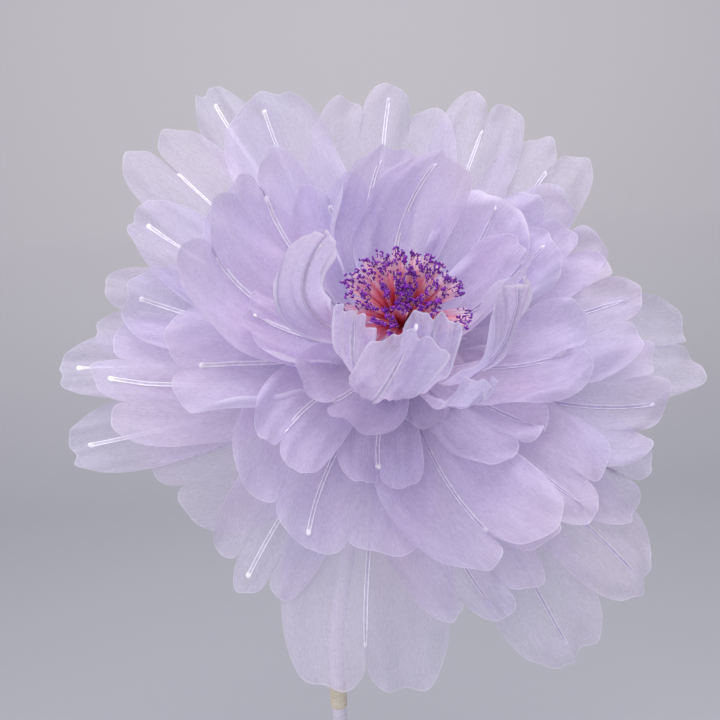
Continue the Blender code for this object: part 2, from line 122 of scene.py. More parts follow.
# Soft creases: how many, depth and width in metres, angle in radians, and where they lie as shares
CREASES = 3
CREASE_DEPTH = 0.0034
CREASE_WIDTH = 0.015
CREASE_ANGLE = 0.5
CREASE_SPREAD = 0.7
CREASE_PLACE = 0.6

# Painted highlight along the cut rims, where the paper also covers more: the band's width in metres, and how
# far rolled or doubled paper takes this highlight and fuller cover all over
RIM_BAND = 0.004
DENSE_RIM = 0.85

# Shift of the paper's grain in metres for each degree round the flower, so that petals differ
GRAIN_SHIFT = 0.01

# Rib wires: paper strips over wire, glued along the petals' middles, with a round blob of glue at the end.
# Widths, heights and lengths are in metres, starts and gaps shares of the petal's length.
RIB_WIDTH = 0.0048
RIB_HEIGHT = 0.0013
RIB_LIFT = 0.0002
RIB_START = 0.10
RIB_GAP = 0.05
NOTCH_RIB_GAP = 0.02
RIB_CELLS = 34
RIB_ASIDE = 0.02
BLOB_LENGTH = 0.007
BLOB_CELLS = 9
BLOB_RADIUS = 0.0028
BLOB_SPREAD = 0.0026
BLOB_WIDTH_GAIN = 0.25
BLOB_HEIGHT_GAIN = 0.4

# Section of a rib: places across it and heights there, as two ridges with a hollow between
RIB_PROFILE = [(-1.0, 0.0), (-0.86, 0.75), (-0.66, 0.85), (-0.42, 0.30), (0.0, 0.16),
               (0.42, 0.30), (0.66, 0.85), (0.86, 0.75), (1.0, 0.0)]
RIDGE_HEIGHT = 0.75

# How thick the ribs look, which also sets their tone: on average, the swing round the flower and its peak, in
# the hollow, at the start. Low values paint shade in the hollow and at the strip's outer rims, and the swing
# paints the ribs lighter round the peak and darker opposite
RIB_DENSITY = 0.80
DENSITY_AND_LIGHT_SWING = 0.18
RIB_BRIGHT_SIDE = 150.0
HOLLOW_DENSITY_AND_SHADE = 0.35
START_DENSITY = 0.65
RIB_FADE_RUN = 0.45

Petal = namedtuple("Petal", "name azimuth nest length width lobes curl cupping sweep")

# Azimuth in degrees round the flower's axis: 0 is right, 90 the far side, 180 left, 270 the near side.
# Nest from 0 to 1. Length, width and tip curl in metres, number of lobes, cupping and sweep in degrees.
PETALS = [
    Petal("cup_petal_1", 238, 0.04, 0.245, 0.060, 1, 0.012, 20, 18),
    Petal("cup_petal_2", 234, 0.00, 0.220, 0.045, 1, 0.002, 20, -10),
    Petal("cup_petal_3", 262, 0.00, 0.232, 0.046, 1, 0.002, 20, 0),
    Petal("cup_petal_4", 180, 0.00, 0.215, 0.056, 1, 0.020, 30, 0),
    Petal("cup_petal_5", 12, 0.08, 0.155, 0.110, 1, 0.004, 40, 4),
    Petal("cup_petal_6", 282, 0.05, 0.205, 0.044, 1, 0.002, 20, 0),
    Petal("cup_petal_7", 298, 0.00, 0.220, 0.045, 1, 0.002, 20, 0),
    Petal("inner_petal_1", 107, 0.20, 0.203, 0.105, 1, 0.002, 8, -17),
    Petal("inner_petal_2", 90, 0.14, 0.199, 0.110, 1, 0.002, 8, -21),
    Petal("inner_petal_3", 40, 0.19, 0.182, 0.105, 1, 0.002, 8, 4),
    Petal("inner_petal_4", 22, 0.27, 0.186, 0.085, 1, 0.004, 20, 0),
    Petal("inner_petal_5", 114, 0.27, 0.186, 0.100, 2, 0.002, 8, 0),
    Petal("inner_petal_6", 222, 0.20, 0.115, 0.130, 2, 0.006, 8, 0),
    Petal("inner_petal_7", 175, 0.23, 0.164, 0.085, 1, 0.006, 14, 0),
    Petal("middle_petal_1", 137, 0.34, 0.237, 0.110, 2, 0.003, 12, -6),
    Petal("middle_petal_2", 146, 0.42, 0.233, 0.115, 1, 0.003, 12, -2),
    Petal("middle_petal_3", 169, 0.28, 0.241, 0.125, 2, 0.003, 12, -11),
    Petal("middle_petal_4", 183, 0.39, 0.229, 0.130, 2, 0.003, 12, 5),
    Petal("middle_petal_5", 206, 0.33, 0.173, 0.100, 2, 0.003, 12, 14),
    Petal("middle_petal_6", 246, 0.40, 0.139, 0.090, 2, 0.002, 10, 8),
    Petal("middle_petal_7", 288, 0.25, 0.079, 0.130, 3, 0.002, 8, -5),
    Petal("middle_petal_8", 317, 0.40, 0.155, 0.140, 3, 0.003, 12, 1),
    Petal("middle_petal_9", 336, 0.32, 0.182, 0.110, 2, 0.003, 12, 12),
    Petal("middle_petal_10", 32, 0.42, 0.217, 0.110, 2, 0.003, 12, 0),
    Petal("outer_petal_1", 229, 0.58, 0.204, 0.230, 3, 0.004, 8, 9),
    Petal("outer_petal_2", 275, 0.50, 0.218, 0.155, 2, 0.004, 8, 14),
    Petal("outer_petal_3", 186, 0.69, 0.294, 0.140, 3, 0.004, 8, -6),
    Petal("outer_petal_4", 153, 0.58, 0.296, 0.090, 1, 0.004, 8, -3),
    Petal("outer_petal_5", 116, 0.62, 0.318, 0.125, 1, 0.004, 10, -3),
    Petal("outer_petal_6", 335, 0.66, 0.274, 0.150, 3, 0.004, 8, 8),
    Petal("outer_petal_7", 28, 0.58, 0.258, 0.130, 2, 0.004, 8, 0),
    Petal("outer_petal_8", 310, 0.60, 0.235, 0.160, 3, 0.004, 8, 0),
    Petal("outer_petal_9", 165, 0.62, 0.272, 0.085, 1, 0.004, 8, 0),
    Petal("outer_petal_10", 271, 0.72, 0.261, 0.140, 3, 0.004, 8, 13),
    Petal("outer_petal_11", 4, 0.54, 0.253, 0.150, 3, 0.004, 8, 0),
    Petal("guard_petal_1", 88, 0.82, 0.333, 0.180, 3, 0.004, 6, -5),
    Petal("guard_petal_2", 62, 0.86, 0.356, 0.110, 2, 0.004, 6, 0),
    Petal("guard_petal_3", 131, 0.90, 0.373, 0.125, 2, -0.004, 6, 0),
    Petal("guard_petal_4", 163, 0.86, 0.306, 0.100, 2, -0.004, 6, 0),
    Petal("guard_petal_5", 175, 0.82, 0.334, 0.080, 1, -0.005, 6, 0),
    Petal("guard_petal_6", 190, 0.92, 0.325, 0.080, 1, 0.005, 10, -1),
    Petal("guard_petal_7", 203, 0.98, 0.258, 0.190, 3, -0.004, 6, -8),
    Petal("guard_petal_8", 225, 0.82, 0.262, 0.115, 3, -0.004, 6, 4),
    Petal("guard_petal_9", 252, 0.90, 0.308, 0.175, 2, 0.003, 6, 5),
    Petal("guard_petal_10", 295, 0.98, 0.332, 0.110, 1, -0.003, 6, 0),
    Petal("guard_petal_11", 313, 0.88, 0.329, 0.110, 1, -0.004, 6, 0),
    Petal("guard_petal_12", 327, 0.84, 0.279, 0.120, 2, 0.004, 6, 0),
    Petal("guard_petal_13", 359, 0.90, 0.336, 0.130, 2, -0.004, 6, 0),
    Petal("guard_petal_14", 45, 0.92, 0.348, 0.120, 2, -0.004, 6, 0),
    Petal("guard_petal_15", 116, 0.96, 0.400, 0.075, 1, -0.004, 6, 0),
]

# Petals whose side edges roll: degrees at the edge before and after the petal going round, positive inward,
# and how wide the rolled strip is, in metres
Roll = namedtuple("Roll", "before after strip")
SIDE_ROLLS = {
    "cup_petal_4": Roll(80.0, -20.0, 0.016),
    "cup_petal_5": Roll(140.0, 0.0, 0.026),
    "cup_petal_7": Roll(50.0, 70.0, 0.014),
    "inner_petal_1": Roll(0.0, 130.0, 0.014),
    "inner_petal_4": Roll(-100.0, -40.0, 0.020),
    "inner_petal_7": Roll(-40.0, 90.0, 0.014),
    "middle_petal_4": Roll(0.0, 160.0, 0.018),
    "middle_petal_8": Roll(-120.0, 90.0, 0.016),
    "middle_petal_10": Roll(110.0, 0.0, 0.020),
}
ROLL_START = 0.25
ROLL_EASE = 0.3
NO_ROLL = Roll(0.0, 0.0, 0.01)
WIDEST_STRIP = 0.9
DENSE_ROLL = 60.0

# Petals that turn about their own rib, in degrees, positive when the edge after it turns inward
TWISTS = {"cup_petal_4": -72.0, "cup_petal_5": -22.0}
TWIST_START = 0.30
TWIST_EASE = 0.4

# Petals whose tips roll: degrees at the edge, positive inward, and how long the rolled strip is, in metres
TipRoll = namedtuple("TipRoll", "angle strip")
TIP_ROLLS = {
    "inner_petal_3": TipRoll(-60.0, 0.020),
    "middle_petal_7": TipRoll(-100.0, 0.016),
    "outer_petal_7": TipRoll(90.0, 0.020),
}
NO_TIP_ROLL = TipRoll(0.0, 0.01)

# Petals that stand otherwise in the photo than the CAD bends them, as changes to a few of their values
AS_STANDING = {
    "cup_petal_1": {"length": 0.258},
    "cup_petal_2": {"length": 0.228},
    "cup_petal_3": {"length": 0.246},
    "cup_petal_4": {"length": 0.232, "curl": 0.0, "cupping": 20},
    "cup_petal_7": {"length": 0.242, "width": 0.054, "sweep": 18},
    "inner_petal_6": {"length": 0.122},
}

# Petals of doubled paper, with how much it is doubled from 0 to 1, which also takes the rim's painted
# highlight to lighten petals that stand in shade, and those whose rib shows on the outer face
DOUBLED_AND_HIGHLIT = {
    "cup_petal_1": 0.25,
    "cup_petal_2": 0.25,
    "cup_petal_3": 0.25,
    "cup_petal_4": 0.75,
    "cup_petal_7": 0.6,
}
OUTER_RIBS = ("cup_petal_1", "cup_petal_2", "cup_petal_3", "cup_petal_7")

# Stamens: strips of pleated crepe in three rolled bands, in place of the CAD bands, in metres and radians
SEED = 7
BAND_FOOT = 0.0003
BAND_TOP = 0.045
STAMEN_LENGTH = 0.066
STRIP_WIDTH = 0.0078
STRIP_SCATTER = 0.35
STRIP_LENGTHS = (0.88, 1.02)
STRIP_WIDTHS = (0.7, 1.3)
STRIP_TWIST = 0.8
STRIP_BEND = 0.10
STRIP_THREADS = 8
THREAD_WIDTH = 0.0011
THREAD_FOLD = 0.3
THREAD_STEPS = 6
THREAD_PLACES = (0.2, 0.8)
THREAD_LEAN = 0.035
THREAD_LENGTHS = (0.90, 1.0)
LEAN_AT_ROOT = 0.25
LEAN_GAIN = 1.2
FAN_AT_ROOT = 1.4
FAN_LOSS = 0.6
TUFT_LEAN = math.radians(-5.0)

# Bands: radius in metres, number of strips, how far they lean out and differ in degrees, and relative length
Band = namedtuple("Band", "name radius strips lean spread length")
BANDS = [
    Band("stamen_fringe_inner", 0.0072, 26, 7.0, 16.0, 0.92),
    Band("stamen_fringe_middle", 0.0093, 32, 31.0, 12.0, 0.98),
    Band("stamen_fringe_outer", 0.0114, 44, 58.0, 18.0, 1.0),
]

# Anthers: distances from a thread's tip, each with its chance, then sizes in metres and bends in radians
ANTHER_PLACES = ((0.0, 0.9), (0.0025, 0.35), (0.006, 0.16), (0.011, 0.10))
ANTHER_ALONG = 0.001
ANTHER_ASIDE = 0.0009
ANTHER_SIZES = (0.0013, 0.0021)
ANTHER_BENDS = (1.6, 3.4)
ANTHER_TILT = 1.2
ANTHER_GIRTH = 0.30
ANTHER_STEPS = 4
ANTHER_SIDES = 5

# Rough direction across a tube, to start its section from
TUBE_ASIDE = Vector((0.31, 0.87, 0.38))

# Camera: the photograph's viewing angle, with a lens as long in millimetres as the square frame is wide
CAMERA_PLACE = Vector((0.0526, -0.8297, 1.2937))
CAMERA_PITCH = math.radians(16.0)
CAMERA_ROLL = math.radians(2.8)
CAMERA_LENS = 36.0
CAMERA_FRAME = 36.0
CAMERA_NEAR = 0.05

# Backdrop in metres: the wall, the sweep up to it and the floor. The sweep's step is in degrees.
WALL_PLACE = 2.6
WALL_SWEEP = 0.9
WALL_TOP = 5.0
FLOOR_FRONT = -4.0
STAGE_HALF_WIDTH = 6.0
SWEEP_STEP = 6

# Light: soft lamps aimed at the flower's middle, with size in metres and power in watts, and an even sky
Lamp = namedtuple("Lamp", "name place size power")
LAMPS = (Lamp("key", (0.25, -0.45, 3.1), 1.5, 36.0), Lamp("fill", (-0.9, -1.9, 1.9), 1.8, 18.0))
LAMP_TARGET = (0.1, -0.1, 1.1)
SKY_COLOUR = (0.99, 0.975, 1.0, 1.0)
SKY_STRENGTH = 0.59
LIGHT_BOUNCES = 6
TRANSPARENT_BOUNCES = 14


def srgb(red, green, blue):
    """Linear colour from a 0 to 255 screen colour."""
    def linear(value):
        value = value / 255.0
        return value / 12.92 if value <= 0.04045 else ((value + 0.055) / 1.055) ** 2.4
    return (linear(red), linear(green), linear(blue), 1.0)


def grey(value):
    """The same number in each channel of a colour."""
    return (value, value, value, 1.0)


# Petals' crepe, from cool to rosy, greyer in the outer layers, with paler stray fibres, and a painted
# highlight along the cut rims
CREPE_COOL = srgb(211, 201, 238)
CREPE_LILAC = srgb(219, 204, 239)
CREPE_ROSY = srgb(227, 206, 236)
CREPE_GREY = srgb(214, 210, 230)
CREPE_FIBRE = srgb(240, 236, 250)
CREPE_RIM_HIGHLIGHT = srgb(242, 239, 251)
GREYING = 0.55
PALING = 1.1
RIM_HIGHLIGHT_PALING = 0.65

# How much light each kind of mark in the crepe holds back, and how much less the outer layers do
LEAST_COVER = 0.30
FIBRE_COVER = 0.22
STRAY_COVER = 0.34
BAND_COVER = 0.30
MOTTLE_COVER = 0.22
RIM_COVER = 0.24
OUTER_THINNING = 0.26

# Ribs' tones: painted shade for the hollow and the outer rims, then the glue on the ridges and in the blob
GLUE_HOLLOW_SHADE = srgb(160, 144, 196)
GLUE_RIDGE = srgb(214, 206, 232)
GLUE_BLOB = srgb(246, 243, 252)

# Stamens' crepe from root to tip, and the anthers' dye from deep to bright
FRINGE_STOPS = [(0.0, srgb(224, 44, 74)), (0.22, srgb(240, 72, 104)), (0.45, srgb(248, 122, 150)),
                (0.68, srgb(250, 170, 194)), (0.92, srgb(254, 218, 232))]
ANTHER_STOPS = [(0.3, srgb(84, 12, 128)), (0.55, srgb(122, 22, 168)), (0.75, srgb(164, 48, 192))]

# Stem, tape, foot and screw, each from dark to light
WRAP_TONES = (srgb(206, 200, 222), srgb(232, 228, 240))
TAPE_TONES = (srgb(196, 186, 166), srgb(228, 221, 206))
PAINT_TONES = (srgb(228, 228, 225), srgb(234, 234, 231))
PLATED_TONES = (srgb(150, 152, 156), srgb(196, 198, 202))

# Backdrop at the floor and up the wall
FLOOR_TONE = srgb(186, 187, 197)
WALL_TONE = srgb(218, 215, 220)
WALL_TONE_HEIGHT = 0.2


def bowl(nest, azimuth, reach):
    """Points and inward normals on one nested bowl in the head's frame, as in the CAD."""
    hub_radius = HUB_TOP_RADIUS + (HUB_LOW_RADIUS - HUB_TOP_RADIUS) * nest
    radius = np.full(reach.shape, hub_radius + SEAT_GAP + HALF_THICKNESS)
    height = np.full(reach.shape, -HUB_LENGTH * nest)
    leave = CUP_LEAVE_ANGLE + LEAVE_ANGLE_GAIN * math.sqrt(nest)
    curl = CUP_CURL_PER_METRE * (1.0 - nest) ** 3 - GUARD_CURL_PER_METRE * nest ** 2
    sagging = min(1.0, max(0.0, (nest - SAG_NEST) / (FULL_SAG_NEST - SAG_NEST)))
    sag = SAG_ANGLE * sagging * np.cos(azimuth - math.radians(NEAR_SIDE))
    gain = (1.0 - SAG_AT_HUB) / SAG_REACH
    step = reach / BOWL_STEPS
    for index in range(BOWL_STEPS):
        along = (index + 0.5) * step
        angle = np.radians(leave - curl * along + sag * (SAG_AT_HUB + gain * along))
        radius = radius + np.sin(angle) * step
        height = height + np.cos(angle) * step
    end = np.radians(leave - curl * reach + sag * (SAG_AT_HUB + gain * reach))
    points = np.stack([radius * np.cos(azimuth), radius * np.sin(azimuth), height], axis=-1)
    normals = np.stack([-np.cos(end) * np.cos(azimuth), -np.cos(end) * np.sin(azimuth), np.sin(end)], axis=-1)
    return points + normals * folds(azimuth, reach)[..., None], normals


def folds(azimuth, reach):
    """Height of the soft folds that run out through all the layers alike, as in the CAD."""
    height = FOLD_HEIGHT * np.minimum(reach / FOLD_REACH, 1.0) ** 2
    turn = FOLD_SWING * reach / FOLD_REACH
    broad = np.sin(BROAD_FOLDS * azimuth + turn)
    narrow = np.sin(NARROW_FOLDS * azimuth - turn)
    return height * (BROAD_FOLD_SHARE * broad + (1.0 - BROAD_FOLD_SHARE) * narrow)


def lobe_at(lobes, across):
    """Which lobe each place across the petal is in, from 0."""
    lobe_half = 1.0 / lobes
    return np.clip(np.floor((across + 1.0) / (2.0 * lobe_half)), 0, lobes - 1)


def tip_outline(lobes, across):
    """Share of the petal's length that its outline reaches: round lobes with a notch between neighbours."""
    lobe_half = 1.0 / lobes
    lobe = lobe_at(lobes, across)
    centre = -1.0 + lobe_half * (2.0 * lobe + 1.0)
    place = np.clip((across - centre) / lobe_half, -1.0, 1.0)
    outermost = ((lobe == 0) & (place < 0)) | ((lobe == lobes - 1) & (place > 0))
    low = np.where(outermost, SHOULDER, NOTCH)
    crown = 1.0 - SIDE_LOBE_DROP * np.where(lobes == 3, centre ** 2, 0.0)
    return low + (crown - low) * np.maximum(0.0, 1.0 - np.abs(place) ** ROUNDING) ** (1.0 / ROUNDING)


def cut_outline(petal, across):
    """The lobed outline as scissors leave it, with small bumps that differ from petal to petal."""
    rng = random.Random(petal.name + "_cut")
    wobble = np.zeros(np.shape(across))
    for count, size in CUT_WOBBLES:
        wobble = wobble + size * np.sin(math.pi * count * across + rng.uniform(0.0, 2.0 * math.pi))
    outline = tip_outline(petal.lobes, across) + wobble * notch_fade(petal, across)
    return outline + CORNERS.get(petal.name, 0.0) * (across ** CORNER_POWER - CORNER_DIP)


def half_width(petal, share):
    """Half the petal's width at a share of its length: a fan from the foot to the shoulder."""
    fan = np.minimum(share / SHOULDER, 1.0)
    foot = PETAL_FOOT_WIDTH / 2.0
    return foot + (petal.width / 2.0 - foot) * fan * (1.5 - 0.5 * fan ** 2)


def smooth(value):
    """Ease from 0 to 1."""
    value = np.clip(value, 0.0, 1.0)
    return value * value * (3.0 - 2.0 * value)


def rim_distance(petal, share, across):
    """Distance from the petal's nearest edge, in metres."""
    to_tip = (cut_outline(petal, across) - share) * petal.length
    to_side = (1.0 - np.abs(across)) * half_width(petal, share)
    return np.maximum(0.0, np.minimum(to_tip, to_side))


def side_roll(petal, half):
    """How the petal's side edges roll, and the rolled strip's width as a share of half the petal's."""
    roll = SIDE_ROLLS.get(petal.name, NO_ROLL)
    return roll, np.minimum(roll.strip / half, WIDEST_STRIP)


def section(petal, share, across):
    """Place across and rise of a point in the petal's cupped section, whose edges may roll further."""
    turn = math.radians(petal.cupping) * np.clip(share / CUPPED_SHARE, LEAST_CUPPING, 1.0)
    half = half_width(petal, share)
    side, strip = side_roll(petal, half)
    roll = np.radians(np.where(across < 0.0, side.before, side.after))
    roll = roll * smooth((share - ROLL_START) / ROLL_EASE)
    sideways = np.zeros(share.shape)
    rise = np.zeros(share.shape)
    for index in range(SECTION_STEPS):
        place = across * (index + 0.5) / SECTION_STEPS
        lean = turn * place + np.sign(place) * roll * smooth((np.abs(place) - 1.0 + strip) / strip)
        sideways = sideways + np.cos(lean) * across / SECTION_STEPS
        rise = rise + np.sin(lean) * across / SECTION_STEPS
    twist = math.radians(TWISTS.get(petal.name, 0.0)) * smooth((share - TWIST_START) / TWIST_EASE)
    turned = sideways * np.cos(twist) - rise * np.sin(twist)
    rise = sideways * np.sin(twist) + rise * np.cos(twist)
    return half * turned, half * rise


def rolled(petal, share, across):
    """1 where the petal's edge or tip is rolled over, and 0 where it isn't."""
    side, strip = side_roll(petal, half_width(petal, share))
    turned = np.where(across < 0.0, abs(side.before), abs(side.after)) > DENSE_ROLL
    edge = smooth((np.abs(across) - 1.0 + strip) / strip * 2.0)
    edge = edge * smooth((share - ROLL_START) / ROLL_EASE) * turned
    tip = TIP_ROLLS.get(petal.name, NO_TIP_ROLL)
    past = tip.strip - (cut_outline(petal, across) - share) * petal.length
    return np.maximum(edge, smooth(past / tip.strip) * (abs(tip.angle) > 0.0))


def tip_roll(petal, share, across):
    """How far a point is drawn back along the petal, and how far it rises, where the tip is rolled."""
    if petal.name not in TIP_ROLLS:
        return 0.0, 0.0
    angle, strip = TIP_ROLLS[petal.name]
    radius = strip / math.radians(abs(angle))
    past = np.clip(strip - (cut_outline(petal, across) - share) * petal.length, 0.0, strip)
    back = past - radius * np.sin(past / radius)
    rise = radius * (1.0 - np.cos(past / radius)) * math.copysign(1.0, angle)
    return back, rise


def ruffles(petal, share, across, rng):
    """Height of the petal's ruffled rim and, where it is cut square, of its bent corners."""
    beside = across * petal.width / 2.0
    along = share * petal.length
    edge = 1.0 - smooth(rim_distance(petal, share, across) / RUFFLE_BAND)
    ripple = 0.0
    for wave in RUFFLE_WAVES:
        run = beside * wave.across + along * wave.along * np.sign(beside)
        turn = 2.0 * math.pi * run / wave.length + rng.uniform(0.0, ANY_PHASE)
        ripple = ripple + wave.share * np.sin(turn)
    gain = 1.0 + RUFFLE_GAIN_RIGHT * math.cos(math.radians(petal.azimuth))
    height = RUFFLE_HEIGHTS[layer_of(petal)] * gain * edge * smooth(share / RUFFLE_EASE) * ripple
    if petal.name in CORNERS:
        bend = CORNER_BEND * smooth((share - CORNER_START) / CORNER_EASE)
        height = height - bend * across ** CORNER_POWER
    return height


def pleats(petal, share, across, rng):
    """Height of the fan-like pleats that run along the petal."""
    height = 0.0
    for count, size in PLEATS:
        phase = rng.uniform(0.0, 2.0 * math.pi)
        drift = rng.uniform(-PLEAT_DRIFT, PLEAT_DRIFT)
        height = height + size * share * np.sin(math.pi * count * across + phase + drift * share)
    return PLEAT_GAINS[layer_of(petal)] * height


def lobe_flare(petal, share, across, rng):
    """Height by which each lobe flares in or out towards its tip."""
    flares = np.array([rng.uniform(*FLARE_RANGE) for _ in range(petal.lobes)])
    tip = smooth((share / cut_outline(petal, across) - FLARE_START) / FLARE_EASE)
    size = LOBE_FLARE * (CUP_FLARE_SHARE + (1.0 - CUP_FLARE_SHARE) * petal.nest)
    return size * flares[lobe_at(petal.lobes, across).astype(int)] * tip * notch_fade(petal, across)


def creases(petal, share, across, rng):
    """Height of a few soft creases, each a fold to one side or the other."""
    beside = across * petal.width / 2.0
    along = (share - CREASE_PLACE) * petal.length
    height = 0.0
    for _ in range(CREASES):
        angle = rng.uniform(-CREASE_ANGLE, CREASE_ANGLE)
        start = rng.uniform(-CREASE_SPREAD, CREASE_SPREAD) * petal.width / 2.0
        away = (beside - start) * math.cos(angle) - along * math.sin(angle)
        side = rng.choice((-1.0, 1.0))
        fold = np.maximum(0.0, 1.0 - np.abs(away) / CREASE_WIDTH)
        height = height + side * CREASE_DEPTH * share ** 2 * fold
    return height


def relief(petal, share, across):
    """Height of one petal's own ruffles, pleats, lobe flare and creases, in metres."""
    rng = random.Random(petal.name)
    height = 0.0
    for form in (ruffles, pleats, lobe_flare, creases):
        height = height + form(petal, share, across, rng)
    return height


def layer_of(petal):
    """The layer in a petal's name."""
    return petal.name.split("_")[0]


def notch_fade(petal, across):
    """1 in the middle of a lobe, and 0 at a notch, where neighbouring lobes meet."""
    lobe_half = 1.0 / petal.lobes
    place = np.mod(across + 1.0, 2.0 * lobe_half) / lobe_half - 1.0
    return np.cos(place * math.pi / 2.0)


def petal_points(petal, share, across, lift=0.0):
    """Points of the petal's sheet for shares of its length and places across it, with their normals."""
    back, lifted = tip_roll(petal, share, across)
    reach = share * petal.length - back
    centre = np.radians(petal.azimuth + petal.sweep * share ** 2)
    middle, _ = bowl(petal.nest, centre, reach)
    radius = np.hypot(middle[..., 0], middle[..., 1])
    sideways, rise = section(petal, share, across)
    rise = rise + lifted
    points, normals = bowl(petal.nest, centre + sideways / radius, reach)
    tip = petal.curl * np.maximum(0.0, (share - TIP_CURL_START) / (1.0 - TIP_CURL_START)) ** 2
    return points + normals * (rise + relief(petal, share, across) + tip + lift)[..., None], normals


def across_places(lobes):
    """Places across the petal, close together where a lobe's outline turns down into a notch."""
    places = []
    lobe_half = 1.0 / lobes
    cells = LOBE_CELLS[lobes]
    for lobe in range(lobes):
        centre = -1.0 + lobe_half * (2 * lobe + 1)
        first = 0 if lobe == 0 else 1
        for cell in range(first, cells + 1):
            places.append(centre - lobe_half * math.cos(math.pi * cell / cells))
    return np.array(places)


def grid_faces(rows, columns):
    """Faces of a grid of vertices."""
    faces = []
    for row in range(rows - 1):
        for column in range(columns - 1):
            corner = row * columns + column
            faces.append((corner, corner + 1, corner + columns + 1, corner + columns))
    return faces


def keep_values(mesh, name, values):
    """Keep a number for each vertex on the mesh."""
    kept = mesh.attributes.new(name, "FLOAT", "POINT")
    kept.data.foreach_set("value", np.asarray(values, np.float32).ravel())


def petal_mesh(petal):
    """Fine mesh of one petal, with UVs in metres across and along, and its distance from the edge."""
    along = np.linspace(0.0, 1.0, LENGTH_CELLS + 1)
    share, across = np.meshgrid(along, across_places(petal.lobes), indexing="ij")
    share = share * cut_outline(petal, across)
    # Rolled and doubled paper covers more and gets the rim's painted highlight all over
    dense_and_highlit = np.maximum(rolled(petal, share, across), DOUBLED_AND_HIGHLIT.get(petal.name, 0.0))
    rim = np.clip(rim_distance(petal, share, across) / RIM_BAND, 0.0, 1.0) * (1.0 - DENSE_RIM * dense_and_highlit)
    points, _ = petal_points(petal, share, across)
    mesh = bpy.data.meshes.new(petal.name + "_sheet")
    mesh.from_pydata(points.reshape(-1, 3).tolist(), [], grid_faces(*share.shape))
    mesh.transform(HEAD)
    mesh.shade_smooth()
    keep_values(mesh, "rim", rim)
    keep_values(mesh, "layer", np.full(share.shape, petal.nest))
    grain = mesh.uv_layers.new(name="grain")
    uv = np.stack([across * petal.width / 2.0 + petal.azimuth * GRAIN_SHIFT, share * petal.length], axis=-1)
    uv = uv.reshape(-1, 2)
    loops = np.zeros(len(mesh.loops), np.int32)
    mesh.loops.foreach_get("vertex_index", loops)
    grain.data.foreach_set("uv", uv[loops].astype(np.float32).ravel())
    return mesh


def flat_cut(petal):
    """Width and length of the petal's flat cut in metres, and its area in square metres."""
    across = np.linspace(-1.0, 1.0, FLAT_SAMPLES)
    outline = cut_outline(petal, across)
    share = np.linspace(0.0, 1.0, FLAT_SAMPLES)[:, None] * outline
    widths = half_width(petal, share)
    area = np.mean(np.mean(widths, axis=0) * outline) * 2.0 * petal.length
    return (petal.width, petal.length * float(outline.max())), float(area)


def new_object(name, data):
    """An object in the scene."""
    made = bpy.data.objects.new(name, data)
    bpy.context.scene.collection.objects.link(made)
    return made


def add_piece(name, mesh, materials, node=None):
    """Link a mesh as a piece that rides on the one body, and stands for a CAD node if one is named."""
    thing = new_object(name, mesh)
    for look in materials:
        mesh.materials.append(look)
    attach(thing, "root")
    if node:
        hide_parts(node)
    return thing


